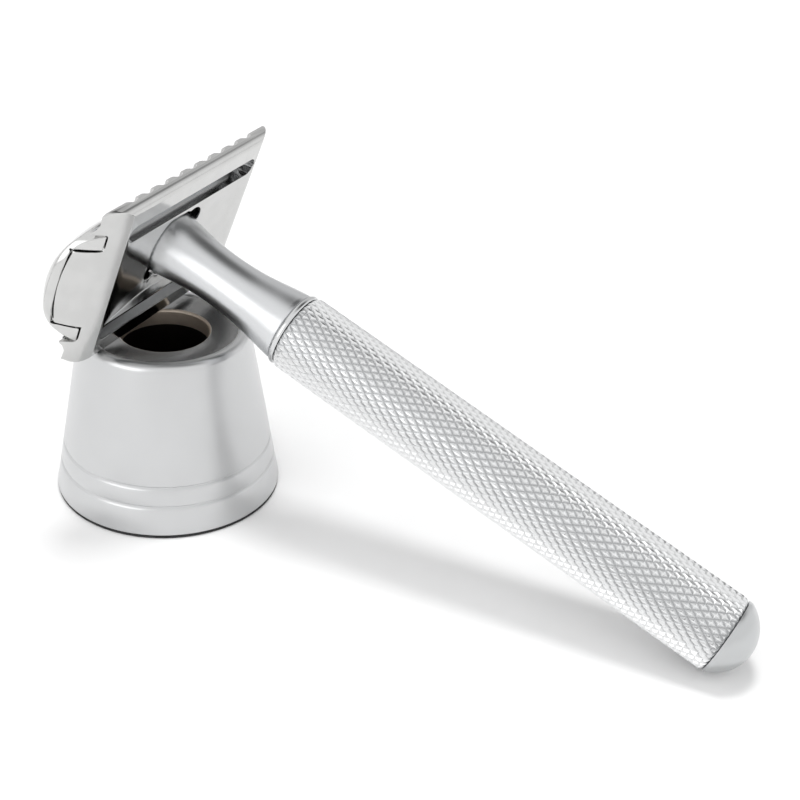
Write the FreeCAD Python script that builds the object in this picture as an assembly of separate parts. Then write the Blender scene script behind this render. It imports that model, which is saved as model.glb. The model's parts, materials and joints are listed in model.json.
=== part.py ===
import FreeCAD, Part
import math
import os

# Three-piece safety razor resting across the rim of its own round stand.
# Millimetres.  Frame: stand axis on Z, stand's underside on z = 0, +Z up.
#
# The razor is drawn in its own frame and placed at the end:
#   x = across the head (towards one guard), y = along the blade,
#   z = along the handle, away from the head; z = 0 is the plane of the guards' underside.

V = FreeCAD.Vector
X_AXIS, Y_AXIS, Z_AXIS = V(1, 0, 0), V(0, 1, 0), V(0, 0, 1)

# ---- driving dimensions: pose of the razor on the stand
HEAD_CENTRE = V(2.36, -0.08, 39.46)
HANDLE_HEADING = -26.3           # degrees about Z, from +X
HANDLE_DROP = 21.18              # degrees below the horizontal
HANDLE_ROLL = 1.75               # degrees about the handle's own axis

# ---- blade and the curve it is clamped to
BLADE_HALF_LENGTH = 21.4
BLADE_HALF_ARC = 11.0
BLADE_THICKNESS = 0.1
BLADE_TAB_HALF = 6.2
BLADE_EDGE_HALF_LENGTH = 18.7
BLADE_NOTCH_OUTER_X = 9.7
BLADE_NOTCH_END_Y = 17.85
BLADE_BEND_RADIUS = 21.5
BLADE_CENTRE_Z = -5.65
BEND_AXIS_Z = BLADE_CENTRE_Z + BLADE_BEND_RADIUS
BLADE_GAP = 0.07

# ---- base plate
PLATE_HALF_WIDTH = 13.75
GUARD_CREASE_X = 12.75
GUARD_LIP_Z = -2.45
GUARD_BAR_INNER_X = 10.45
SLOT_INNER_X = 7.7
SLOT_HALF_LENGTH = 14.9
PLATE_CREASE_Y = 15.2
HOLLOW_HALF_WIDTH = 7.25
HOLLOW_HALF_LENGTH = 14.6
UNDERSIDE_SAG = 1.28
SCALLOP_COUNT = 9
SCALLOP_PITCH = 3.35
SCALLOP_RADIUS = 1.2
SCALLOP_CENTRE_Z = -2.75
SCALLOP_INNER_X = 12.2
HANDLE_SEAT_RADIUS = 5.42
HANDLE_SEAT_Z = -2.0
DRAIN_RADIUS = 1.7
DRAIN_X, DRAIN_Y = 3.3, 3.65
TONGUE_HALF_WIDTH = 6.4
TONGUE_ROOT_HALF_WIDTH = 6.95
TONGUE_TIP_Y = 21.2
TONGUE_CORNER_Y = 20.6
HOOK_CHANNEL_OUTER_X = 9.72
HOOK_CHANNEL_END_Y = 17.75

# ---- cap
CAP_TOP_Z = -7.75
CAP_DOME_RADIUS = 14.5
CAP_HALF_WIDTH = 9.9
CAP_TIP_Y = 22.5
CAP_SIDE_END_Y = 16.2
CAP_ROLL_Y = 13.0
CLASP_GAP = 0.28
HOOK_OUTER_X = 9.5
HOOK_END_Y = 18.0

# ---- clamping screw and pins
STUD_RADIUS = 2.40
STUD_TIP_Z = 4.9
STUD_FLANGE_RADIUS = 3.6
INSERT_BORE_RADIUS = 2.46
PLATE_BORE_RADIUS = 2.75
PIN_RADIUS = 1.15
PIN_Y = 10.2
PIN_TIP_Z = -3.6
PIN_SOCKET_Z = -3.3

# ---- handle
NECK_END_Z = -1.93
NECK_REAR_Z = 20.6
RING_REAR_Z = 21.45
GRIP_FRONT_Z = 21.5
GRIP_REAR_Z = 93.8
GRIP_RADIUS = 5.73
GRIP_BORE_RADIUS = 4.25
GRIP_BEVEL = 0.45
RING_RADIUS = 5.6
INSERT_RADIUS = 3.3
INSERT_REAR_Z = 7.0
CORE_RADIUS = 4.2
TENON_RADIUS = 2.5
CORE_FRONT_Z = 14.5
CORE_BODY_REAR_Z = 90.5
CORE_REAR_Z = 94.6
END_SHOULDER_RADIUS = 5.62
END_TIP_Z = 98.0
PART_GAP = 0.05

# ---- stand
STAND_HEIGHT = 26.55
STAND_FOOT_RADIUS = 17.1
STAND_TOP_RADIUS = 12.65
STAND_METAL_Z = 0.45
RIM_RADIUS = 1.1
DISH_RADIUS = 11.1
DISH_EDGE_DROP = 0.2
DISH_INNER_RADIUS = 7.1
DISH_DROP = 0.6
BORE_RADIUS = 6.6
BORE_FLOOR_Z = 5.0
GROOVE_HEIGHTS = (4.9, 7.95)
GROOVE_WIDTH = 0.5
GROOVE_DEPTH = 0.28
PAD_RADIUS = 17.0
PAD_THICKNESS = 0.4
PAD_BOSS_RADIUS = 15.5
PAD_TOP_Z = 1.4

BIG = 80.0


def box(x0, x1, y0, y1, z0, z1):
    return Part.makeBox(x1 - x0, y1 - y0, z1 - z0, V(x0, y0, z0))


def rod(radius, z0, z1, x=0.0, y=0.0):
    return Part.makeCylinder(radius, z1 - z0, V(x, y, z0), Z_AXIS)


def face_of(edges):
    return Part.Face(Part.Wire(edges))


def line(a, b):
    return Part.LineSegment(a, b).toShape()


def arc(a, mid, b):
    return Part.Arc(a, mid, b).toShape()


def turned(points):
    """Solid of revolution about Z from (radius, z) corners; a triple is (radius, z, 'arc') midpoint."""
    edges = []
    pts = list(points) + [points[0]]
    i = 0
    while i < len(pts) - 1:
        a = V(pts[i][0], 0, pts[i][1])
        nxt = pts[i + 1]
        if len(nxt) == 3:
            end = pts[i + 2]
            edges.append(arc(a, V(nxt[0], 0, nxt[1]), V(end[0], 0, end[1])))
            i += 2
        else:
            edges.append(line(a, V(nxt[0], 0, nxt[1])))
            i += 1
    return face_of(edges).revolve(V(0, 0, 0), Z_AXIS, 360)


def mirrored(shape, normal):
    return shape.mirror(V(0, 0, 0), normal)


def mirrored_point(p, across, along):
    return V(across * p.x, along * p.y, p.z)


def both_ends(shape):
    return shape.fuse(mirrored(shape, Y_AXIS))


def both_sides(shape):
    return shape.fuse(mirrored(shape, X_AXIS))


def plan_prism(edges, z0, z1):
    """Prism along z from edges drawn at z = z0."""
    return face_of(edges).extrude(V(0, 0, z1 - z0))


def bend_cylinder(radius):
    """Cylinder along the blade whose surface follows the blade's bend."""
    return Part.makeCylinder(radius, 2 * BIG, V(0, -BIG, BEND_AXIS_Z), Y_AXIS)


# ---- shapes shared by the base plate and the cap -------------------------------------------

def end_slope_block():
    """Everything on the inner side of the two rounded slopes that end the base plate."""
    top = -20.0
    p0 = V(-BIG, PLATE_CREASE_Y, 0)
    p1 = V(-BIG, 18.1, -1.6)
    p2 = V(-BIG, 21.5, -5.27)
    p3 = V(-BIG, 23.2, -8.2)
    m0, m1, m2, m3 = [V(p.x, -p.y, p.z) for p in (p0, p1, p2, p3)]
    hi_r, hi_l = V(-BIG, 23.2, top), V(-BIG, -23.2, top)
    edges = [line(m0, p0), arc(p0, p1, p2), line(p2, p3), line(p3, hi_r), line(hi_r, hi_l),
             line(hi_l, m3), line(m3, m2), arc(m2, m1, m0)]
    return face_of(edges).extrude(V(2 * BIG, 0, 0))


def tongue_plan(grown=0.0):
    """Plan of the plate's end tongue, tapering to a bowed tip; grown widens it all round."""
    z = -20.0
    root, half = TONGUE_ROOT_HALF_WIDTH + grown, TONGUE_HALF_WIDTH + grown
    corner_y, tip_y = TONGUE_CORNER_Y + grown, TONGUE_TIP_Y + grown
    a, b, c = V(-root, 0, z), V(root, 0, z), V(root, HOOK_CHANNEL_END_Y, z)
    d, e, f = V(half, corner_y, z), V(-half, corner_y, z), V(-root, HOOK_CHANNEL_END_Y, z)
    return plan_prism([line(a, b), line(b, c), line(c, d), arc(d, V(0, tip_y, z), e), line(e, f), line(f, a)],
                      z, 20.0)


def cap_plan():
    """Plan of the cap: straight long sides, rounded corners and bowed ends."""
    z = -20.0
    w, side, tip = CAP_HALF_WIDTH, CAP_SIDE_END_Y, CAP_TIP_Y
    a, b, c = V(w, side, z), V(w - 0.75, tip - 3.8, z), V(w - 2.7, tip - 1.95, z)
    far_r, far_l = [a, b, c], [mirrored_point(p, -1, 1) for p in (a, b, c)]
    near_r, near_l = [[mirrored_point(p, 1, -1) for p in g] for g in (far_r, far_l)]
    edges = [line(near_r[0], far_r[0]), arc(*far_r), arc(far_r[2], V(0, tip, z), far_l[2]),
             arc(*far_l[::-1]), line(far_l[0], near_l[0]), arc(*near_l),
             arc(near_l[2], V(0, -tip, z), near_r[2]), arc(*near_r[::-1])]
    return plan_prism(edges, z, 20.0)


# ---- base plate ----------------------------------------------------------------------------

def plate_section():
    """Cross-section of the base plate: crowned top under the blade, guard lips at the sides."""
    r = BLADE_BEND_RADIUS - BLADE_THICKNESS / 2 - BLADE_GAP
    seat_x = 10.2
    seat_z = BEND_AXIS_Z - math.sqrt(r * r - seat_x * seat_x)
    y = -BIG
    lip = PLATE_HALF_WIDTH
    crease, low, high = V(GUARD_CREASE_X, y, 0), V(lip, y, -1.0), V(lip - 0.05, y, -1.75)
    top, rise = V(lip - 0.85, y, GUARD_LIP_Z), V(11.4, y, -2.4)
    gutter, seat = V(10.5, y, -2.68), V(seat_x, y, seat_z)
    right = [arc(crease, V(lip - 0.3, y, -0.33), low), line(low, high),
             arc(high, V(lip - 0.28, y, -2.25), top), line(top, rise), line(rise, gutter),
             line(gutter, seat)]
    left = [mirrored(e, X_AXIS) for e in right]
    crown = arc(seat, V(0, y, BEND_AXIS_Z - r), V(-seat_x, y, seat_z))
    edges = right + [crown] + left[::-1] + [line(V(-GUARD_CREASE_X, y, 0), crease)]
    return face_of(edges).extrude(V(0, 2 * BIG, 0))


def lather_slot():
    mid = (SLOT_INNER_X + GUARD_BAR_INNER_X) / 2
    r = (GUARD_BAR_INNER_X - SLOT_INNER_X) / 2
    straight = SLOT_HALF_LENGTH - r
    slot = box(mid - r, mid + r, -straight, straight, -BIG / 4, BIG / 4)
    return slot.fuse([rod(r, -BIG / 4, BIG / 4, mid, y) for y in (-straight, straight)])


def underside_hollow():
    """Shallow hollow between the lather slots, deepest at the handle."""
    sag, half, wide = UNDERSIDE_SAG, HOLLOW_HALF_LENGTH, HOLLOW_HALF_WIDTH
    radius = (half * half + sag * sag) / (2 * sag)
    drum = Part.makeCylinder(radius, 2 * wide, V(-wide, 0, radius - sag), X_AXIS)
    return drum.common(box(-wide, wide, -half, half, -5, 5))


def scallops():
    first = -(SCALLOP_COUNT - 1) / 2 * SCALLOP_PITCH
    tools = []
    for i in range(SCALLOP_COUNT):
        y = first + i * SCALLOP_PITCH
        tools.append(Part.makeCylinder(SCALLOP_RADIUS, 3.0, V(SCALLOP_INNER_X, y, SCALLOP_CENTRE_Z), X_AXIS))
    return tools + [mirrored(t, X_AXIS) for t in tools]


def hook_channels():
    """Clearance for the cap's clasp at one end: all round the tongue."""
    z0 = -20.0
    ring = box(-HOOK_CHANNEL_OUTER_X, HOOK_CHANNEL_OUTER_X, HOOK_CHANNEL_END_Y, 30, z0, 20.0)
    edges = [e for e in ring.Edges if abs(e.Vertexes[0].X - e.Vertexes[-1].X) < 1e-6
             and abs(e.Vertexes[0].Y - e.Vertexes[-1].Y) < 1e-6 and e.Vertexes[0].Y < 20]
    ring = ring.makeFillet(0.5, edges)
    return ring.cut(tongue_plan())


def guard_corner_trim():
    """Rounds the plate's four corners in plan."""
    z = -20.0
    a, m, b = V(PLATE_HALF_WIDTH, 16.6, z), V(13.15, 18.8, z), V(11.5, 20.1, z)
    c, d, e = V(8.0, 21.4, z), V(8.0, 40, z), V(40, 40, z)
    f = V(40, 16.6, z)
    edges = [arc(a, m, b), line(b, c), line(c, d), line(d, e), line(e, f), line(f, a)]
    return both_sides(both_ends(plan_prism(edges, z, 20.0)))


def base_plate():
    body = plate_section().common(end_slope_block())
    body = body.cut(guard_corner_trim())
    body = body.cut(both_ends(hook_channels()))
    body = body.cut(underside_hollow())
    body = body.cut(both_sides(lather_slot()))
    body = body.cut(scallops())
    body = body.cut(rod(PLATE_BORE_RADIUS, -20, 20))
    body = body.cut(rod(HANDLE_SEAT_RADIUS, HANDLE_SEAT_Z, 5))
    for side in (1, -1):
        body = body.cut(rod(DRAIN_RADIUS, -20, 20, side * DRAIN_X, -side * DRAIN_Y))
        body = body.cut(rod(PIN_RADIUS + 0.2, -20, PIN_SOCKET_Z, 0, side * PIN_Y))
    return largest(body)


def largest(shape):
    return max(shape.Solids, key=lambda s: s.Volume)


# ---- blade ---------------------------------------------------------------------------------

def blade_plan():
    """Plan of a double-edge blade: cutting length, notches for the hooks, bowed end tabs."""
    z = -20.0
    w, e, t = 12.0, BLADE_EDGE_HALF_LENGTH, BLADE_TAB_HALF
    nx, ny = BLADE_NOTCH_OUTER_X, BLADE_NOTCH_END_Y
    tip, corner = BLADE_HALF_LENGTH, BLADE_HALF_LENGTH - 1.35
    right = [V(w, -e, z), V(w, e, z), V(nx, e, z), V(nx, ny, z), V(t, ny, z), V(t, corner, z)]
    left = [V(-t, corner, z), V(-t, ny, z), V(-nx, ny, z), V(-nx, e, z), V(-w, e, z), V(-w, -e, z),
            V(-nx, -e, z), V(-nx, -ny, z), V(-t, -ny, z), V(-t, -corner, z)]
    last = [V(t, -corner, z), V(t, -ny, z), V(nx, -ny, z), V(nx, -e, z), V(w, -e, z)]
    edges = [line(right[i], right[i + 1]) for i in range(len(right) - 1)]
    edges.append(arc(right[-1], V(0, tip, z), left[0]))
    edges += [line(left[i], left[i + 1]) for i in range(len(left) - 1)]
    edges.append(arc(left[-1], V(0, -tip, z), last[0]))
    edges += [line(last[i], last[i + 1]) for i in range(len(last) - 1)]
    return plan_prism(edges, z, 20.0)


def blade():
    half = BLADE_THICKNESS / 2
    sheet = bend_cylinder(BLADE_BEND_RADIUS + half).cut(bend_cylinder(BLADE_BEND_RADIUS - half))
    half_chord = BLADE_BEND_RADIUS * math.sin(BLADE_HALF_ARC / BLADE_BEND_RADIUS)
    sheet = sheet.common(box(-half_chord, half_chord, -BIG, BIG, -10, 0))
    sheet = sheet.common(blade_plan())
    slot_half = 16.0
    sheet = sheet.cut(box(-1.3, 1.3, -slot_half, slot_half, -20, 20))
    for y, r in ((0, 2.9), (PIN_Y, 1.6), (-PIN_Y, 1.6), (slot_half, 1.3), (-slot_half, 1.3)):
        sheet = sheet.cut(rod(r, -20, 20, 0, y))
    return largest(sheet)


# ---- cap -----------------------------------------------------------------------------------

def cap_dome():
    """Outer volume of the cap: a dome across whose ends roll over smoothly, turned about its own axis."""
    x, tip, roll = 0, CAP_TIP_Y, CAP_ROLL_Y
    axis_z = CAP_TOP_Z + CAP_DOME_RADIUS
    far = [V(x, roll, CAP_TOP_Z), V(x, 17.2, -7.6), V(x, 20.2, -7.1)]
    end = [far[2], V(x, tip - 0.75, -6.4), V(x, tip + 0.1, -5.2)]
    near = [[V(p.x, -p.y, p.z) for p in g] for g in (far, end)]
    foot, near_foot = V(x, tip + 0.1, axis_z), V(x, -tip - 0.1, axis_z)
    edges = [arc(*far), arc(*end), line(end[2], foot), line(foot, near_foot), line(near_foot, near[1][2]),
             arc(*near[1][::-1]), arc(*near[0][::-1]), line(near[0][0], far[0])]
    return face_of(edges).revolve(V(0, 0, axis_z), Y_AXIS, 360)


def cap_end_profile():
    """Side outline of the cap's underside: the lip that stands proud of the end slope."""
    x, tip, top = -BIG, CAP_TIP_Y, -12.0
    lip = [V(x, tip, -5.85), V(x, tip - 0.55, -4.95), V(x, 20.9, -4.45)]
    slope = [V(x, 20.2, -3.78), V(x, 19.3, -2.8), V(x, 18.1, -1.6)]
    crease, high = V(x, PLATE_CREASE_Y, -0.1), V(x, tip, top)
    ml, ms = [[V(p.x, -p.y, p.z) for p in g] for g in (lip, slope)]
    mc, mh = V(x, -PLATE_CREASE_Y, -0.1), V(x, -tip, top)
    edges = [line(high, mh), line(mh, ml[0]), arc(*ml), line(ml[2], ms[0]), arc(*ms), line(ms[2], mc),
             line(mc, crease), line(crease, slope[2]), arc(*slope[::-1]), line(slope[0], lip[2]),
             arc(*lip[::-1]), line(lip[0], high)]
    return face_of(edges).extrude(V(2 * BIG, 0, 0))


def clasp_region():
    """Plan region of one C-shaped clasp: the lip beyond the tongue and its two hooks."""
    block = box(-HOOK_OUTER_X, HOOK_OUTER_X, HOOK_END_Y, 30, -20, 20)
    return block.cut(tongue_plan(CLASP_GAP))


def cap_shell():
    outer = cap_dome().common(cap_plan()).common(cap_end_profile())
    clearance = BLADE_BEND_RADIUS + BLADE_THICKNESS / 2 + BLADE_GAP
    underside = bend_cylinder(clearance)
    crown = outer.cut(underside)
    clasps = outer.common(both_ends(clasp_region())).common(underside)
    body = crown.fuse(clasps).removeSplitter()
    body = body.cut(rod(STUD_FLANGE_RADIUS + 0.02, -6.7, 0)).cut(rod(STUD_RADIUS + 0.02, -7.1, 0))
    for side in (1, -1):
        body = body.cut(rod(PIN_RADIUS + 0.02, -7.0, 0, 0, side * PIN_Y))
    return largest(body)


def cap_stud():
    """Threaded stud with a round flange that is set into the cap."""
    flange_z = BLADE_CENTRE_Z - BLADE_THICKNESS / 2 - BLADE_GAP
    flange = rod(STUD_FLANGE_RADIUS, -6.65, flange_z)
    shank = rod(STUD_RADIUS, -7.05, STUD_TIP_Z)
    stud = flange.fuse(shank).removeSplitter()
    tip = [e for e in stud.Edges if abs(e.BoundBox.ZMax - STUD_TIP_Z) < 1e-6 and e.BoundBox.ZLength < 1e-6]
    return stud.makeChamfer(0.5, tip)


def locating_pin(side):
    pin = rod(PIN_RADIUS, -6.95, PIN_TIP_Z, 0, side * PIN_Y)
    tip = [e for e in pin.Edges if abs(e.BoundBox.ZMax - PIN_TIP_Z) < 1e-6 and e.BoundBox.ZLength < 1e-6]
    return pin.makeChamfer(0.3, tip)


# ---- handle --------------------------------------------------------------------------------

def neck_outline():
    """(radius, z) of the waisted neck, from the head end to the collar."""
    return [(4.95, NECK_END_Z + 0.25), (4.75, 0.2), (4.3, 3.1), (4.0, 6.6), (3.97, 9.6), (4.15, 12.8),
            (4.55, 15.7), (5.0, 18.4), (5.25, NECK_REAR_Z - 0.45)]


def handle_neck():
    bore, front, rear = INSERT_RADIUS + PART_GAP, NECK_END_Z, NECK_REAR_Z
    outline = [V(r, 0, z) for r, z in neck_outline()]
    curve = Part.BSplineCurve()
    curve.interpolate(outline)
    edges = [line(V(0, 0, rear), V(0, 0, front)), line(V(0, 0, front), V(4.75, 0, front)),
             line(V(4.75, 0, front), outline[0]), curve.toShape(),
             line(outline[-1], V(5.0, 0, rear)), line(V(5.0, 0, rear), V(0, 0, rear))]
    neck = face_of(edges).revolve(V(0, 0, 0), Z_AXIS, 360)
    neck = neck.cut(rod(bore, front - 1, INSERT_REAR_Z + PART_GAP))
    return largest(neck.cut(rod(TENON_RADIUS + PART_GAP, CORE_FRONT_Z - 0.5, rear + 1)))


def thread_insert():
    tube = rod(INSERT_RADIUS, NECK_END_Z + 0.05, INSERT_REAR_Z)
    return tube.cut(rod(INSERT_BORE_RADIUS, -10, INSERT_REAR_Z - 0.9))


def collar_ring():
    front, rear = NECK_REAR_Z + PART_GAP, RING_REAR_Z
    ring = turned([(TENON_RADIUS + PART_GAP, front), (5.3, front), (RING_RADIUS, front + 0.3),
                   (RING_RADIUS, rear - 0.12), (5.45, rear), (TENON_RADIUS + PART_GAP, rear)])
    return ring


def grip_sleeve():
    front, rear, r = GRIP_FRONT_Z, GRIP_REAR_Z, GRIP_RADIUS
    return turned([(GRIP_BORE_RADIUS, front), (r - GRIP_BEVEL, front), (r, front + GRIP_BEVEL),
                   (r, rear - GRIP_BEVEL), (r - GRIP_BEVEL, rear), (GRIP_BORE_RADIUS, rear)])


def core_rod():
    """Steel core that ties the neck, collar, sleeve and end cap together."""
    return turned([(0, CORE_FRONT_Z), (TENON_RADIUS, CORE_FRONT_Z), (TENON_RADIUS, GRIP_FRONT_Z),
                   (CORE_RADIUS, GRIP_FRONT_Z), (CORE_RADIUS, CORE_BODY_REAR_Z),
                   (TENON_RADIUS, CORE_BODY_REAR_Z), (TENON_RADIUS, CORE_REAR_Z), (0, CORE_REAR_Z)])


def end_cap():
    """Domed end: a spigot inside the sleeve, a socket for the core and a round outer dome."""
    rear, r = GRIP_REAR_Z, GRIP_BORE_RADIUS - PART_GAP
    socket = TENON_RADIUS + PART_GAP
    front = rear + PART_GAP
    dome_z = front + 0.5
    height = END_TIP_Z - dome_z
    ball = (END_SHOULDER_RADIUS ** 2 + height ** 2) / (2 * height)
    half_angle = math.asin(END_SHOULDER_RADIUS / ball) / 2
    mid = (ball * math.sin(half_angle), END_TIP_Z - ball * (1 - math.cos(half_angle)), 'arc')
    return turned([(0, CORE_REAR_Z + 0.1), (socket, CORE_REAR_Z + 0.1), (socket, CORE_BODY_REAR_Z + 0.1),
                   (r, CORE_BODY_REAR_Z + 0.1), (r, front), (END_SHOULDER_RADIUS - 0.17, front),
                   (END_SHOULDER_RADIUS, dome_z), mid, (0, END_TIP_Z)])


# ---- stand ---------------------------------------------------------------------------------

def cone_radius(z):
    t = (z - STAND_METAL_Z) / (STAND_HEIGHT - STAND_METAL_Z)
    return STAND_FOOT_RADIUS + (STAND_TOP_RADIUS - STAND_FOOT_RADIUS) * t


def stand_groove(z):
    r = cone_radius(z)
    w, d = GROOVE_WIDTH / 2, GROOVE_DEPTH
    return turned([(r - d, z - w * 0.4), (r + 1, z - w * 1.6), (r + 1, z + w * 1.6), (r - d, z + w * 0.4)])


def stand_body():
    top, foot, side = STAND_HEIGHT, STAND_METAL_Z, cone_radius(STAND_HEIGHT - RIM_RADIUS)
    dish_top = top - DISH_EDGE_DROP
    dish_low = top - DISH_DROP
    recess_r, lip = PAD_BOSS_RADIUS + PART_GAP, DISH_INNER_RADIUS - BORE_RADIUS
    body = turned([
        (0, PAD_TOP_Z + PART_GAP), (recess_r, PAD_TOP_Z + PART_GAP), (recess_r, foot),
        (STAND_FOOT_RADIUS - 0.25, foot), (STAND_FOOT_RADIUS, foot + 0.3),
        (side, top - RIM_RADIUS), (side - 0.25, top - 0.3, 'arc'), (side - RIM_RADIUS, top),
        (DISH_RADIUS, top), (DISH_RADIUS - 0.15, dish_top), (DISH_INNER_RADIUS, dish_low),
        (DISH_INNER_RADIUS - 0.707 * lip, dish_low - 0.293 * lip, 'arc'), (BORE_RADIUS, dish_low - lip),
        (BORE_RADIUS, BORE_FLOOR_Z), (0, BORE_FLOOR_Z)])
    for z in GROOVE_HEIGHTS:
        body = body.cut(stand_groove(z))
    return largest(body)


def stand_foot_pad():
    return rod(PAD_RADIUS, 0, PAD_THICKNESS).fuse(rod(PAD_BOSS_RADIUS, 0, PAD_TOP_Z)).removeSplitter()


# ---- placing and writing -------------------------------------------------------------------

def razor_placement():
    """Rotation that takes the razor's own frame to its leaning pose."""
    heading, drop, roll = [math.radians(a) for a in (HANDLE_HEADING, HANDLE_DROP, HANDLE_ROLL)]
    along = V(math.cos(drop) * math.cos(heading), math.cos(drop) * math.sin(heading), -math.sin(drop))
    level = V(-math.sin(heading), math.cos(heading), 0)
    upward = along.cross(level)
    blade_dir = level * math.cos(roll) + upward * math.sin(roll)
    across = blade_dir.cross(along)
    m = FreeCAD.Matrix(across.x, blade_dir.x, along.x, HEAD_CENTRE.x,
                       across.y, blade_dir.y, along.y, HEAD_CENTRE.y,
                       across.z, blade_dir.z, along.z, HEAD_CENTRE.z,
                       0, 0, 0, 1)
    return FreeCAD.Placement(m)


def write(name, shape, placement=None):
    if placement is not None:
        shape = placed(shape, placement)
    shape.exportStep("parts/" + name + ".step")
    print(name, "solids", len(shape.Solids), "valid", shape.isValid(), "volume", round(shape.Volume, 1))


def placed(shape, placement):
    copy = shape.copy()
    copy.Placement = placement.multiply(copy.Placement)
    return copy


RAZOR_PARTS = {
    "base_plate": base_plate,
    "blade": blade,
    "cap_shell": cap_shell,
    "cap_stud": cap_stud,
    "locating_pin_near": lambda: locating_pin(-1),
    "locating_pin_far": lambda: locating_pin(1),
    "handle_neck": handle_neck,
    "thread_insert": thread_insert,
    "collar_ring": collar_ring,
    "grip_sleeve": grip_sleeve,
    "core_rod": core_rod,
    "end_cap": end_cap,
}
STAND_PARTS = {"stand_body": stand_body, "stand_foot_pad": stand_foot_pad}


def main():
    os.makedirs("parts", exist_ok=True)
    pose = razor_placement()
    for name, make in RAZOR_PARTS.items():
        write(name, make(), pose)
    for name, make in STAND_PARTS.items():
        write(name, make())
    print("handle axis", pose.Rotation.multVec(Z_AXIS), "blade axis", pose.Rotation.multVec(Y_AXIS))


main()
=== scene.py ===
import bmesh
import bpy
import json
import math
from mathutils import Matrix, Vector
from mathutils.geometry import interpolate_bezier


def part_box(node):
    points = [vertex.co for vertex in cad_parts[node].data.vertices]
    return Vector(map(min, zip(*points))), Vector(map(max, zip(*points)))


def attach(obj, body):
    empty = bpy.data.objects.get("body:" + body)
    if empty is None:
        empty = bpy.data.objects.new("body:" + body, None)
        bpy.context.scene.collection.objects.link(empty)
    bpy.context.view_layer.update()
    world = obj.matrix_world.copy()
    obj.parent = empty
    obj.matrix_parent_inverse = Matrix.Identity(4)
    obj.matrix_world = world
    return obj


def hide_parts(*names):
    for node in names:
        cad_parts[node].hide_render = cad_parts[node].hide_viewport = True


# Three-piece safety razor leaning across the rim of its round stand.
# Lengths in the functions below are millimetres; MM turns them into the scene's metres.
# The razor's own frame: x across the head, y along the blade, z along the handle, away from the head.

MM = 0.001
TURN_STEPS = 144
STAND_TURN_STEPS = 192
STUD_TURN_STEPS = 72
PIN_TURN_STEPS = 48
SHARP_ANGLE = 32

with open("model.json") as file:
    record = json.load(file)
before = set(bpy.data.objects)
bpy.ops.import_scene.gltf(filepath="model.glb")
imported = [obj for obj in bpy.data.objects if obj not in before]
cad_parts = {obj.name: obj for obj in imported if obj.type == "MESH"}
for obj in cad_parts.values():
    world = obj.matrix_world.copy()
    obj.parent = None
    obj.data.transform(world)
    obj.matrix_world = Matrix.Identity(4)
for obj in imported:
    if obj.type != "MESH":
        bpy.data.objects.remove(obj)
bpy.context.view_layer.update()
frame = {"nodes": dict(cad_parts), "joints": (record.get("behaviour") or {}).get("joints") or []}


# ---- the razor's own frame, from its joint and its two pins ---------------------------------

def middle(node):
    low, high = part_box(node)
    return (low + high) / 2


def razor_frame():
    """Matrix that takes the razor's own millimetres to the scene."""
    turn = next(j for j in frame["joints"] if j["name"] == "handle_turn")
    along = Vector(turn["axis"]).normalized()
    blade_line = middle("locating_pin_far") - middle("locating_pin_near")
    blade_line = (blade_line - along * blade_line.dot(along)).normalized()
    across = blade_line.cross(along)
    turned = Matrix((across, blade_line, along)).transposed().to_4x4()
    return Matrix.Translation(Vector(turn["pos_m"])) @ turned @ Matrix.Scale(MM, 4)


RAZOR = razor_frame()
STAND = Matrix.Scale(MM, 4)


# ---- node helpers for materials -------------------------------------------------------------

def new_material(name):
    material = bpy.data.materials.new(name)
    material.use_nodes = True
    tree = material.node_tree
    return material, tree, tree.nodes["Principled BSDF"]


def own_coordinates(tree, placing):
    """Object coordinates turned into the part's own millimetres."""
    place = tree.nodes.new("ShaderNodeTexCoord")
    mapping = tree.nodes.new("ShaderNodeMapping")
    mapping.vector_type = "TEXTURE"
    spot, turn, size = placing.decompose()
    mapping.inputs["Location"].default_value = spot
    mapping.inputs["Rotation"].default_value = turn.to_euler()
    mapping.inputs["Scale"].default_value = size
    tree.links.new(place.outputs["Object"], mapping.inputs["Vector"])
    return mapping.outputs["Vector"]


def noise(tree, where, scale, detail=3.0, stretch=None, roughness=0.5):
    """Noise over the part's own millimetres; stretch squeezes it along an axis."""
    if stretch is not None:
        squeeze = tree.nodes.new("ShaderNodeMapping")
        squeeze.inputs["Scale"].default_value = stretch
        tree.links.new(where, squeeze.inputs["Vector"])
        where = squeeze.outputs["Vector"]
    made = tree.nodes.new("ShaderNodeTexNoise")
    made.inputs["Scale"].default_value = scale
    made.inputs["Detail"].default_value = detail
    made.inputs["Roughness"].default_value = roughness
    tree.links.new(where, made.inputs["Vector"])
    return made.outputs["Fac"]


def ramp(tree, value, stops):
    """Value through a ramp of (position, grey or colour) stops."""
    made = tree.nodes.new("ShaderNodeValToRGB")
    made.color_ramp.interpolation = "EASE"
    steps = made.color_ramp.elements
    while len(steps) < len(stops):
        steps.new(0.5)
    for step, (position, colour) in zip(steps, stops):
        step.position = position
        step.color = (colour, colour, colour, 1) if isinstance(colour, float) else (*colour, 1)
    tree.links.new(value, made.inputs["Fac"])
    return made.outputs["Color"]


def span(tree, value, low, high):
    """Value remapped from 0..1 to low..high."""
    made = tree.nodes.new("ShaderNodeMapRange")
    made.inputs["To Min"].default_value = low
    made.inputs["To Max"].default_value = high
    tree.links.new(value, made.inputs["Value"])
    return made.outputs["Result"]


def bump(tree, shader, height, strength, depth_mm, under=None):
    made = tree.nodes.new("ShaderNodeBump")
    made.inputs["Strength"].default_value = strength
    made.inputs["Distance"].default_value = depth_mm * MM
    tree.links.new(height, made.inputs["Height"])
    if under is not None:
        tree.links.new(under, made.inputs["Normal"])
    tree.links.new(made.outputs["Normal"], shader.inputs["Normal"])
    return made.outputs["Normal"]


# ---- finishes -------------------------------------------------------------------------------

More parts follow.
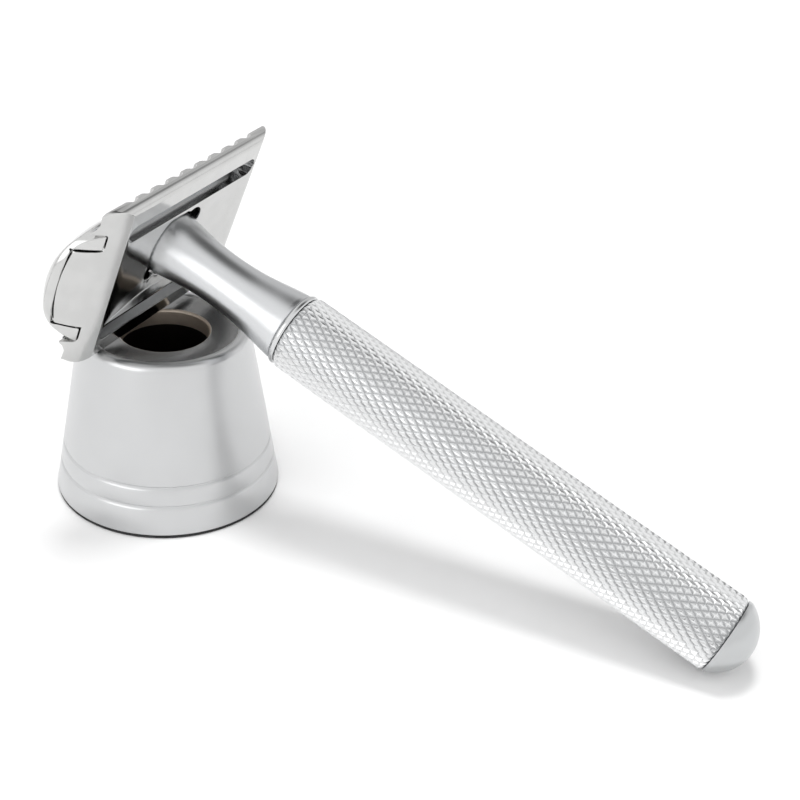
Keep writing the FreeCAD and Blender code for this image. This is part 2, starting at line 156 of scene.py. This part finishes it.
def blasted_metal(name, placing, shade, low_rough, high_rough, grain=9.0, pits=0.012):
    """Bead-blasted satin metal: fine pitted grain, slow cloudy variation of shade and gloss."""
    material, tree, shader = new_material(name)
    where = own_coordinates(tree, placing)
    cloud = noise(tree, where, 0.12, 2.0)
    fine = noise(tree, where, grain, 2.0, roughness=0.7)
    light = tuple(min(1.0, c * 1.01) for c in shade)
    dark = tuple(c * 0.985 for c in shade)
    tree.links.new(ramp(tree, cloud, [(0.3, dark), (0.7, light)]), shader.inputs["Base Color"])
    tree.links.new(span(tree, cloud, low_rough, high_rough), shader.inputs["Roughness"])
    bump(tree, shader, fine, 0.35, pits)
    shader.inputs["Metallic"].default_value = 1.0
    return material


def turned_metal(name, placing, shade, low_rough, high_rough, lines=14.0, depth=0.006):
    """Lathe-turned metal: fine rings round the axis under a satin polish."""
    material, tree, shader = new_material(name)
    where = own_coordinates(tree, placing)
    rings = noise(tree, where, 1.0, 2.0, stretch=(0.02, 0.02, lines))
    cloud = noise(tree, where, 0.3, 3.0)
    light = tuple(min(1.0, c * 1.03) for c in shade)
    dark = tuple(c * 0.95 for c in shade)
    tree.links.new(ramp(tree, rings, [(0.3, dark), (0.7, light)]), shader.inputs["Base Color"])
    tree.links.new(span(tree, cloud, low_rough, high_rough), shader.inputs["Roughness"])
    bump(tree, shader, rings, 0.3, depth)
    shader.inputs["Metallic"].default_value = 1.0
    return material


def polished_metal(name, placing, shade, low_rough, high_rough, wave=0.02):
    """Bright plated metal: hairline polishing marks, faint smudges, slightly uneven plating."""
    material, tree, shader = new_material(name)
    where = own_coordinates(tree, placing)
    smudge = noise(tree, where, 0.35, 5.0)
    hairs = noise(tree, where, 2.2, 3.0, stretch=(14.0, 0.5, 3.0))
    swell = noise(tree, where, 0.16, 1.0)
    light = tuple(min(1.0, c * 1.02) for c in shade)
    dark = tuple(c * 0.97 for c in shade)
    tree.links.new(ramp(tree, smudge, [(0.35, dark), (0.65, light)]), shader.inputs["Base Color"])
    tree.links.new(span(tree, smudge, low_rough, high_rough), shader.inputs["Roughness"])
    first = bump(tree, shader, swell, 0.5, wave)
    bump(tree, shader, hairs, 0.08, 0.004, under=first)
    shader.inputs["Metallic"].default_value = 1.0
    return material


def moulded_rubber(name, placing):
    material, tree, shader = new_material(name)
    where = own_coordinates(tree, placing)
    fine = noise(tree, where, 5.0, 4.0, roughness=0.7)
    cloud = noise(tree, where, 0.4, 3.0)
    tree.links.new(ramp(tree, cloud, [(0.3, (0.010, 0.010, 0.011)), (0.7, (0.022, 0.022, 0.023))]),
                   shader.inputs["Base Color"])
    tree.links.new(span(tree, fine, 0.65, 0.85), shader.inputs["Roughness"])
    bump(tree, shader, fine, 0.5, 0.04)
    return material


def ground_steel(name, placing, edge_x):
    """Blade strip: cross-ground steel with a brighter honed band along each cutting edge."""
    material, tree, shader = new_material(name)
    where = own_coordinates(tree, placing)
    split = tree.nodes.new("ShaderNodeSeparateXYZ")
    tree.links.new(where, split.inputs["Vector"])
    away = tree.nodes.new("ShaderNodeMath")
    away.operation = "ABSOLUTE"
    tree.links.new(split.outputs["X"], away.inputs[0])
    band = tree.nodes.new("ShaderNodeMapRange")
    band.inputs["From Min"].default_value = edge_x - 0.12
    band.inputs["From Max"].default_value = edge_x
    tree.links.new(away.outputs[0], band.inputs["Value"])
    lines = noise(tree, where, 1.0, 3.0, stretch=(0.3, 18.0, 0.3))
    tree.links.new(ramp(tree, band.outputs["Result"], [(0.0, (0.50, 0.51, 0.53)), (1.0, (0.78, 0.79, 0.80))]),
                   shader.inputs["Base Color"])
    tree.links.new(span(tree, lines, 0.22, 0.38), shader.inputs["Roughness"])
    bump(tree, shader, lines, 0.35, 0.006)
    shader.inputs["Metallic"].default_value = 1.0
    return material


# ---- mesh helpers ---------------------------------------------------------------------------

def smooth_outline(points, steps):
    """Smooth run through (radius, z) points."""
    spots = [Vector((r, 0, z)) for r, z in points]
    ends = [spots[0] * 2 - spots[1]] + spots + [spots[-1] * 2 - spots[-2]]
    run = [spots[0]]
    for i in range(len(spots) - 1):
        before, here, there, after = ends[i:i + 4]
        leave, arrive = here + (there - before) / 6, there - (after - here) / 6
        run += interpolate_bezier(here, leave, arrive, there, steps)[1:]
    return [(p.x, p.z) for p in run]


def ball_outline(radius, centre_z, start_r, steps):
    """(radius, z) points on a ball from start_r in to the axis."""
    start = math.asin(start_r / radius)
    turns = [start * (1 - i / steps) for i in range(1, steps + 1)]
    return [(radius * math.sin(t), centre_z + radius * math.cos(t)) for t in turns]


def turned_mesh(points, steps=TURN_STEPS):
    """Closed outline of (radius, z) points spun round z."""
    bm = bmesh.new()
    corners = [bm.verts.new((r, 0, z)) for r, z in points]
    edges = [bm.edges.new((corners[i], corners[(i + 1) % len(corners)])) for i in range(len(corners))
             if corners[i].co.x > 1e-9 or corners[(i + 1) % len(corners)].co.x > 1e-9]
    bmesh.ops.spin(bm, geom=corners + edges, cent=(0, 0, 0), axis=(0, 0, 1), angle=2 * math.pi,
                   steps=steps, use_merge=True)
    bmesh.ops.remove_doubles(bm, verts=bm.verts, dist=1e-5)
    bmesh.ops.dissolve_degenerate(bm, dist=1e-6, edges=bm.edges)
    bmesh.ops.recalc_face_normals(bm, faces=bm.faces)
    return bm


def creases(bm, degrees):
    return [e for e in bm.edges if len(e.link_faces) == 2 and e.calc_face_angle(0) > math.radians(degrees)]


def finish_piece(bm, name, placing, body, materials, stands_for, sharp=SHARP_ANGLE):
    """Places the mesh, shades it, ties it to its body and hides the CAD nodes it stands for."""
    bm.transform(placing)
    for face in bm.faces:
        face.smooth = True
    for edge in creases(bm, sharp):
        edge.smooth = False
    mesh = bpy.data.meshes.new(name)
    bm.to_mesh(mesh)
    bm.free()
    piece = bpy.data.objects.new(name, mesh)
    bpy.context.scene.collection.objects.link(piece)
    for material in materials:
        mesh.materials.append(material)
    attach(piece, body)
    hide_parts(*stands_for)
    return piece


# ---- stand ----------------------------------------------------------------------------------

STAND_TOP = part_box("stand_body")[1].z / MM
FOOT_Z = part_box("stand_body")[0].z / MM
FOOT_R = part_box("stand_body")[1].x / MM
TOP_R = FOOT_R - 4.45
RIM_R = 1.1
DISH_R = 11.1
DISH_INNER_R = 7.1
DISH_DROP = 0.6
BORE_R = 6.6
BORE_FLOOR = 5.0
POLISHED_THROAT = 2.5
PAD_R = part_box("stand_foot_pad")[1].x / MM
PAD_EDGE = 0.4
PAD_BOSS_R = 15.5
PAD_TOP = 1.4
GROOVES = (4.9, 7.95)


def stand_side(z):
    return FOOT_R + (TOP_R - FOOT_R) * (z - FOOT_Z) / (STAND_TOP - FOOT_Z)


def groove_outline(z):
    """A fine V groove with softened lips."""
    return [(stand_side(z - 0.42), z - 0.42), (stand_side(z - 0.3) - 0.03, z - 0.3),
            (stand_side(z - 0.08) - 0.26, z - 0.08), (stand_side(z + 0.08) - 0.26, z + 0.08),
            (stand_side(z + 0.3) - 0.03, z + 0.3), (stand_side(z + 0.42), z + 0.42)]


def rounded(centre_r, centre_z, radius, start, end, steps):
    """(radius, z) points of an arc, angles in degrees from +r towards +z."""
    turns = [math.radians(start + (end - start) * i / steps) for i in range(steps + 1)]
    return [(centre_r + radius * math.cos(t), centre_z + radius * math.sin(t)) for t in turns]


def stand_outline():
    side = stand_side(STAND_TOP - RIM_R)
    recess_r = PAD_BOSS_R + 0.05
    points = [(0, PAD_TOP + 0.05), (recess_r, PAD_TOP + 0.05), (recess_r, FOOT_Z), (FOOT_R - 0.28, FOOT_Z)]
    points += rounded(FOOT_R - 0.28, FOOT_Z + 0.28, 0.28, -80, 5, 4)
    for z in GROOVES:
        points += groove_outline(z)
    points += rounded(side - RIM_R, STAND_TOP - RIM_R, RIM_R, 8, 90, 10)
    points += [(DISH_R + 0.1, STAND_TOP), (DISH_R, STAND_TOP - 0.04), (DISH_R - 0.12, STAND_TOP - 0.2)]
    dish_low, lip = STAND_TOP - DISH_DROP, DISH_INNER_R - BORE_R
    points += rounded(DISH_INNER_R, dish_low - lip, lip, 100, 180, 6)
    points += [(BORE_R, dish_low - POLISHED_THROAT), (BORE_R, BORE_FLOOR), (0, BORE_FLOOR)]
    return points


def build_stand():
    satin = blasted_metal("stand_satin", STAND, (0.585, 0.59, 0.595), 0.27, 0.31)
    # The dish's dark grey base colour is a painted dark reflection: it stands in for the dark things the
    # polished dish mirrors.
    dish = turned_metal("dish_painted_dark_reflection", STAND, (0.27, 0.27, 0.27), 0.20, 0.26)
    throat = turned_metal("bore_polish", STAND, (0.62, 0.54, 0.46), 0.42, 0.52)
    # The bore wall is painted near black: painted shade standing in for the darkness deep down the hole.
    bore = turned_metal("bore_painted_shade", STAND, (0.030, 0.024, 0.021), 0.4, 0.5)
    bm = turned_mesh(stand_outline(), STAND_TURN_STEPS)
    dish_low = STAND_TOP - DISH_DROP
    for face in bm.faces:
        centre = face.calc_center_median()
        out, z = math.hypot(centre.x, centre.y), centre.z
        if out > DISH_R - 0.1 or z < PAD_TOP + 1:
            continue
        # Dish faces take the dark dish metal (painted dark reflection), deeper faces the throat, and faces
        # below the throat the near-black bore wall (painted shade).
        if z > dish_low - 0.05:
            face.material_index = 1
        else:
            face.material_index = 2 if z > dish_low - POLISHED_THROAT else 3
    finishes = [satin, dish, throat, bore]
    finish_piece(bm, "stand_shell", STAND, "stand", finishes, ["stand_body"])


def build_pad():
    rubber = moulded_rubber("pad_rubber", STAND)
    bm = turned_mesh([(0, 0), (PAD_R - 1.3, 0), (PAD_R - 1.1, 0.12), (PAD_R - 0.9, 0), (PAD_R - 0.1, 0),
                      (PAD_R, 0.1), (PAD_R, PAD_EDGE), (PAD_BOSS_R, PAD_EDGE), (PAD_BOSS_R, PAD_TOP),
                      (0, PAD_TOP)])
    finish_piece(bm, "foot_pad", STAND, "stand", [rubber], ["stand_foot_pad"])


# ---- head -----------------------------------------------------------------------------------

def softened_copy(node, name, body, material, width, degrees=24):
    """The CAD solid merged, its flat faces joined, and every crisp edge rounded as by polishing."""
    bm = bmesh.new()
    bm.from_mesh(frame["nodes"][node].data)
    bm.transform(RAZOR.inverted())
    bmesh.ops.remove_doubles(bm, verts=bm.verts, dist=2e-3)
    bmesh.ops.dissolve_degenerate(bm, dist=1e-3, edges=bm.edges)
    bmesh.ops.dissolve_limit(bm, angle_limit=math.radians(1.0), verts=bm.verts, edges=bm.edges)
    edges = creases(bm, degrees)
    if width:
        bmesh.ops.bevel(bm, geom=edges, offset=width, offset_type="OFFSET", affect="EDGES", segments=2,
                        profile=0.5, clamp_overlap=False, material=-1)
    bmesh.ops.triangulate(bm, faces=[f for f in bm.faces if len(f.verts) > 4])
    piece = finish_piece(bm, name, RAZOR, body, [material], [node], 40)
    weigh = piece.modifiers.new("even_shading", "WEIGHTED_NORMAL")
    weigh.keep_sharp = True
    return piece


PLATE_ROUNDING = 0.12
CAP_ROUNDING = 0.14
BLADE_EDGE_X = 10.45


def build_head():
    plate = polished_metal("plate_chrome", RAZOR, (0.585, 0.585, 0.58), 0.12, 0.16, wave=0.006)
    cap = polished_metal("cap_chrome", RAZOR, (0.60, 0.60, 0.595), 0.11, 0.15, wave=0.006)
    softened_copy("base_plate", "guard_plate", "plate", plate, PLATE_ROUNDING)
    softened_copy("cap_shell", "clasped_cap", "cap", cap, CAP_ROUNDING)
    blade = ground_steel("blade_steel", RAZOR, BLADE_EDGE_X)
    softened_copy("blade", "razor_blade", "blade", blade, 0)


STUD_R = 2.4
STUD_ROOT_R = 2.02
STUD_TIP = 4.9
STUD_TOP = -7.05
THREAD_PITCH = 0.8
THREAD_STEPS = 36
FLANGE_R = 3.6
FLANGE_HIGH = -6.65
FLANGE_LOW = -5.77
PIN_R = 1.15
PIN_Y = 10.2
PIN_TOP = -6.95
PIN_TIP = -3.6


def thread_mesh(bm, root, crest, start, turns):
    """Helical ridge: one pitch of V profile screwed round z."""
    half = THREAD_PITCH / 2
    profile = [bm.verts.new(p) for p in ((root, 0, start - half), (crest, 0, start - 0.07),
                                         (crest, 0, start + 0.07), (root, 0, start + half))]
    edges = [bm.edges.new((profile[i], profile[i + 1])) for i in range(3)]
    steps = THREAD_STEPS * turns
    bmesh.ops.spin(bm, geom=profile + edges, cent=(0, 0, 0), axis=(0, 0, 1), angle=2 * math.pi * turns,
                   dvec=(0, 0, THREAD_PITCH / THREAD_STEPS), steps=steps)


def build_stud():
    steel = turned_metal("stud_steel", RAZOR, (0.60, 0.60, 0.61), 0.22, 0.34)
    bm = turned_mesh([(0, STUD_TOP), (STUD_R, STUD_TOP), (STUD_R, FLANGE_HIGH), (FLANGE_R, FLANGE_HIGH),
                      (FLANGE_R, FLANGE_LOW), (STUD_R, FLANGE_LOW), (STUD_R, FLANGE_LOW + 0.7),
                      (STUD_ROOT_R, FLANGE_LOW + 1.0), (STUD_ROOT_R, STUD_TIP - 0.35),
                      (STUD_ROOT_R - 0.35, STUD_TIP), (0, STUD_TIP)], STUD_TURN_STEPS)
    length = STUD_TIP - 0.5 - (FLANGE_LOW + 1.2)
    thread_mesh(bm, STUD_ROOT_R - 0.02, STUD_R, FLANGE_LOW + 1.3, int(length / THREAD_PITCH))
    bmesh.ops.remove_doubles(bm, verts=bm.verts, dist=1e-4)
    bmesh.ops.recalc_face_normals(bm, faces=bm.faces)
    finish_piece(bm, "threaded_stud", RAZOR, "cap", [steel], ["cap_stud"])
    for name, side in (("pin_near", -1), ("pin_far", 1)):
        pin = turned_mesh([(0, PIN_TOP), (PIN_R, PIN_TOP), (PIN_R, PIN_TIP - 0.32),
                           (PIN_R - 0.08, PIN_TIP - 0.15), (PIN_R - 0.3, PIN_TIP), (0, PIN_TIP)],
                          PIN_TURN_STEPS)
        bmesh.ops.translate(pin, vec=(0, side * PIN_Y, 0), verts=pin.verts)
        finish_piece(pin, name, RAZOR, "cap", [steel], ["locating_" + name])


# ---- handle ---------------------------------------------------------------------------------

NECK_END = -1.93
NECK_REAR = 20.6
NECK_OUTLINE = [(4.95, -1.68), (4.75, 0.2), (4.3, 3.1), (4.0, 6.6), (3.97, 9.6), (4.15, 12.8), (4.55, 15.7),
                (5.0, 18.4), (5.25, 20.15)]
CORE_FRONT = 14.0
INSERT_R = 3.3
INSERT_REAR = 7.0
TENON_R = 2.5
RING_R = 5.6
RING_REAR = 21.45
GRIP_FRONT = 21.5
GRIP_REAR = 93.8
GRIP_R = 5.73
GRIP_BORE_R = 4.25
TIP_Z = 98.0
SHOULDER_R = 5.62
SPIGOT_FRONT = 90.6
SOCKET_REAR = 94.7
KNURLS_ROUND = 30
KNURL_LENGTH = 1.9
KNURL_DEPTH = 0.36
KNURL_FLANK = 0.41
GRIP_BEVEL = 0.45


def build_neck():
    satin = blasted_metal("neck_satin", RAZOR, (0.66, 0.67, 0.68), 0.27, 0.30, grain=11.0, pits=0.002)
    bore, socket = INSERT_R + 0.05, TENON_R + 0.05
    outer = smooth_outline(NECK_OUTLINE, 6)
    points = [(bore, NECK_END), (4.72, NECK_END), (4.88, NECK_END + 0.07)] + outer
    points += [(5.2, NECK_REAR - 0.15), (5.0, NECK_REAR), (socket, NECK_REAR), (socket, CORE_FRONT),
               (0, CORE_FRONT), (0, INSERT_REAR + 0.05), (bore, INSERT_REAR + 0.05)]
    bm = turned_mesh(points)
    finish_piece(bm, "waisted_neck", RAZOR, "handle", [satin], ["handle_neck"])


def build_insert():
    brass = turned_metal("insert_brass", RAZOR, (0.72, 0.55, 0.27), 0.25, 0.38)
    front, bore = NECK_END + 0.05, 2.46
    bm = turned_mesh([(bore + 0.3, front), (INSERT_R - 0.15, front), (INSERT_R, front + 0.15),
                      (INSERT_R, INSERT_REAR), (0, INSERT_REAR), (0, INSERT_REAR - 0.9),
                      (bore, INSERT_REAR - 0.9), (bore, front + 0.3)], STUD_TURN_STEPS)
    finish_piece(bm, "thread_bush", RAZOR, "handle", [brass], ["thread_insert"])


def build_ring():
    metal = turned_metal("ring_metal", RAZOR, (0.66, 0.665, 0.67), 0.16, 0.24)
    front, rear, inner = NECK_REAR + 0.05, RING_REAR, TENON_R + 0.05
    bm = turned_mesh([(inner, front), (5.3, front), (5.48, front + 0.08), (RING_R, front + 0.3),
                      (RING_R, rear - 0.2), (RING_R - 0.05, rear - 0.08), (5.45, rear), (inner, rear)])
    finish_piece(bm, "collar", RAZOR, "handle", [metal], ["collar_ring"])


def build_end():
    satin = blasted_metal("end_satin", RAZOR, (0.54, 0.55, 0.555), 0.26, 0.30, grain=11.0, pits=0.003)
    front = GRIP_REAR + 0.05
    spigot, socket = GRIP_BORE_R - 0.05, TENON_R + 0.05
    height = TIP_Z - front - 0.5
    ball = (SHOULDER_R ** 2 + height ** 2) / (2 * height)
    points = [(0, SOCKET_REAR), (socket, SOCKET_REAR), (socket, SPIGOT_FRONT), (spigot, SPIGOT_FRONT),
              (spigot, front), (SHOULDER_R - 0.05, front), (SHOULDER_R, front + 0.05),
              (SHOULDER_R, front + 0.5)]
    points += ball_outline(ball, TIP_Z - ball, SHOULDER_R, 22)
    bm = turned_mesh(points)
    finish_piece(bm, "domed_end", RAZOR, "handle", [satin], ["end_cap"])


def wrap(bm, round_length):
    """Rolls the flat sheet (x round, y along, z out) into a tube about the handle's axis."""
    for vert in bm.verts:
        turn = vert.co.x / round_length * 2 * math.pi
        out = GRIP_R + vert.co.z
        vert.co = Vector((out * math.cos(turn), out * math.sin(turn), GRIP_FRONT + vert.co.y))


def build_grip():
    """Diamond knurl: a grid poked into diamonds, each pushed up to a small flat top, rolled into a tube."""
    satin = knurl_metal()
    length = GRIP_REAR - GRIP_FRONT
    rows = round(length / KNURL_LENGTH)
    bm = bmesh.new()
    bmesh.ops.create_grid(bm, x_segments=KNURLS_ROUND, y_segments=rows, size=0.5)
    bmesh.ops.scale(bm, vec=(KNURLS_ROUND, length, 1), verts=bm.verts)
    bmesh.ops.translate(bm, vec=(KNURLS_ROUND / 2, length / 2, -KNURL_DEPTH), verts=bm.verts)
    old = list(bm.edges)
    bmesh.ops.poke(bm, faces=bm.faces)
    inner = [e for e in old if e.is_valid and len(e.link_faces) == 2]
    bmesh.ops.dissolve_edges(bm, edges=inner, use_verts=False)
    diamonds = list(bm.faces)
    bmesh.ops.inset_individual(bm, faces=diamonds, thickness=KNURL_FLANK, depth=0.0, use_even_offset=False)
    for face in diamonds:
        for vert in face.verts:
            vert.co.z = 0.0
    wrap(bm, KNURLS_ROUND)
    bmesh.ops.remove_doubles(bm, verts=bm.verts, dist=1e-3)
    rims = [e for e in bm.edges if e.is_boundary]
    for z in (GRIP_FRONT, GRIP_REAR):
        rim = [e for e in rims if abs(e.verts[0].co.z - z) < 0.3]
        grown = bmesh.ops.extrude_edge_only(bm, edges=rim)["geom"]
        for vert in (v for v in grown if isinstance(v, bmesh.types.BMVert)):
            flat = Vector((vert.co.x, vert.co.y, 0)).normalized() * GRIP_BORE_R
            vert.co = Vector((flat.x, flat.y, z))
    inner = [e for e in bm.edges if e.is_boundary]
    bmesh.ops.bridge_loops(bm, edges=inner)
    bmesh.ops.recalc_face_normals(bm, faces=bm.faces)
    for vert in bm.verts:
        fade = min(vert.co.z - GRIP_FRONT, GRIP_REAR - vert.co.z)
        out = math.hypot(vert.co.x, vert.co.y)
        limit = GRIP_R - max(0.0, GRIP_BEVEL - fade)
        if out > limit:
            vert.co.x *= limit / out
            vert.co.y *= limit / out
    finish_piece(bm, "knurled_grip", RAZOR, "handle", [satin], ["grip_sleeve"], 12)


def knurl_metal():
    """Satin chrome over the knurl: base colour lighter on the diamond tops and darker down in the grooves, by
    depth.
    """
    material, tree, shader = new_material("grip_knurl")
    where = own_coordinates(tree, RAZOR)
    split = tree.nodes.new("ShaderNodeSeparateXYZ")
    tree.links.new(where, split.inputs["Vector"])
    flat = tree.nodes.new("ShaderNodeCombineXYZ")
    tree.links.new(split.outputs["X"], flat.inputs["X"])
    tree.links.new(split.outputs["Y"], flat.inputs["Y"])
    out = tree.nodes.new("ShaderNodeVectorMath")
    out.operation = "LENGTH"
    tree.links.new(flat.outputs["Vector"], out.inputs[0])
    depth = tree.nodes.new("ShaderNodeMapRange")
    depth.inputs["From Min"].default_value = GRIP_R - KNURL_DEPTH
    depth.inputs["From Max"].default_value = GRIP_R - 0.04
    tree.links.new(out.outputs["Value"], depth.inputs["Value"])
    groove, top = (0.62, 0.625, 0.63), (0.78, 0.785, 0.79)
    tree.links.new(ramp(tree, depth.outputs["Result"], [(0.0, groove), (0.8, top)]),
                   shader.inputs["Base Color"])
    fine = noise(tree, where, 3.0, 3.0)
    tree.links.new(span(tree, fine, 0.20, 0.32), shader.inputs["Roughness"])
    bump(tree, shader, fine, 0.35, 0.02)
    shader.inputs["Metallic"].default_value = 1.0
    return material


def finish_core():
    """The core stays as designed and takes a machined finish."""
    steel = turned_metal("core_steel", RAZOR, (0.55, 0.55, 0.56), 0.3, 0.42)
    core = frame["nodes"]["core_rod"]
    core.data.materials.clear()
    core.data.materials.append(steel)


# ---- studio ---------------------------------------------------------------------------------

def build_camera():
    """Standing a little above the set and looking down at it by 30 degrees."""
    right = Vector((0.99828, 0.0295, 0.05058))
    down = Vector((0.05855, -0.50296, -0.86232))
    ahead = Vector((0.0, 0.8638, -0.50383))
    camera = bpy.data.cameras.new("camera")
    camera.lens, camera.sensor_width = 67.5, 36.0
    camera.clip_start, camera.clip_end = 0.01, 20.0
    holder = bpy.data.objects.new("camera", camera)
    turn = Matrix((right, -down, -ahead)).transposed().to_4x4()
    holder.matrix_world = Matrix.Translation(Vector((35.6, -197.3, 131.3)) * MM) @ turn
    bpy.context.scene.collection.objects.link(holder)
    bpy.context.scene.camera = holder


def build_floor():
    bm = bmesh.new()
    bmesh.ops.create_grid(bm, x_segments=8, y_segments=8, size=3.0)
    mesh = bpy.data.meshes.new("floor")
    bm.to_mesh(mesh)
    bm.free()
    floor = bpy.data.objects.new("floor", mesh)
    bpy.context.scene.collection.objects.link(floor)
    material, tree, shader = new_material("floor_paper")
    where = own_coordinates(tree, STAND)
    fine = noise(tree, where, 0.05, 2.0)
    tree.links.new(ramp(tree, fine, [(0.3, (0.90, 0.90, 0.90)), (0.7, (0.92, 0.92, 0.92))]),
                   shader.inputs["Base Color"])
    shader.inputs["Roughness"].default_value = 0.9
    shader.inputs["Specular IOR Level"].default_value = 0.1
    mesh.materials.append(material)


def area_light(name, spot, aim, size, power, mirrored=True):
    light = bpy.data.lights.new(name, "AREA")
    light.shape = "RECTANGLE"
    light.size, light.size_y = size
    light.energy = power
    holder = bpy.data.objects.new(name, light)
    holder.location = Vector(spot)
    holder.rotation_euler = (Vector(aim) - Vector(spot)).to_track_quat("-Z", "Y").to_euler()
    holder.visible_glossy = mirrored
    bpy.context.scene.collection.objects.link(holder)


def build_light():
    """A lamp straight above for the floor, a softbox low at the front left, and a white room
    that is dim in one patch high up and a little greyer at the back."""
    area_light("top_lamp", (0.04, 0.06, 0.70), (0.04, -0.01, 0.0), (0.16, 0.16), 1.95, mirrored=False)
    area_light("front_softbox", (-0.42, -0.50, 0.28), (0.0, 0.0, 0.03), (0.50, 0.50), 0.8)
    world = bpy.data.worlds.new("studio")
    bpy.context.scene.world = world
    world.use_nodes = True
    tree = world.node_tree
    room = tree.nodes["Background"]
    way = tree.nodes.new("ShaderNodeTexCoord")
    facing = tree.nodes.new("ShaderNodeVectorMath")
    facing.operation = "DOT_PRODUCT"
    facing.inputs[1].default_value = Vector((0.3, 0.3, 0.9)).normalized()
    tree.links.new(way.outputs["Generated"], facing.inputs[0])
    share = tree.nodes.new("ShaderNodeMapRange")
    share.inputs["From Min"].default_value = -1.0
    tree.links.new(facing.outputs["Value"], share.inputs["Value"])
    sky = ramp(tree, share.outputs["Result"],
               [(0.0, 0.96), (0.86, 1.0), (0.93, 0.80), (0.965, 0.40), (0.985, 0.12), (1.0, 0.08)])
    split = tree.nodes.new("ShaderNodeSeparateXYZ")
    tree.links.new(way.outputs["Generated"], split.inputs["Vector"])
    back = tree.nodes.new("ShaderNodeMapRange")
    back.inputs["From Min"].default_value = 0.45
    back.inputs["To Min"].default_value = 1.0
    back.inputs["To Max"].default_value = 0.62
    tree.links.new(split.outputs["Y"], back.inputs["Value"])
    dimmed = tree.nodes.new("ShaderNodeVectorMath")
    dimmed.operation = "SCALE"
    tree.links.new(sky, dimmed.inputs[0])
    tree.links.new(back.outputs["Result"], dimmed.inputs["Scale"])
    tree.links.new(dimmed.outputs["Vector"], room.inputs["Color"])
    room.inputs["Strength"].default_value = 1.06
    bpy.context.scene.view_settings.view_transform = "Standard"


# ---- the whole set --------------------------------------------------------------------------

build_camera()
build_floor()
build_light()
build_stand()
build_pad()
build_head()
build_stud()
build_neck()
build_insert()
build_ring()
build_grip()
build_end()
finish_core()
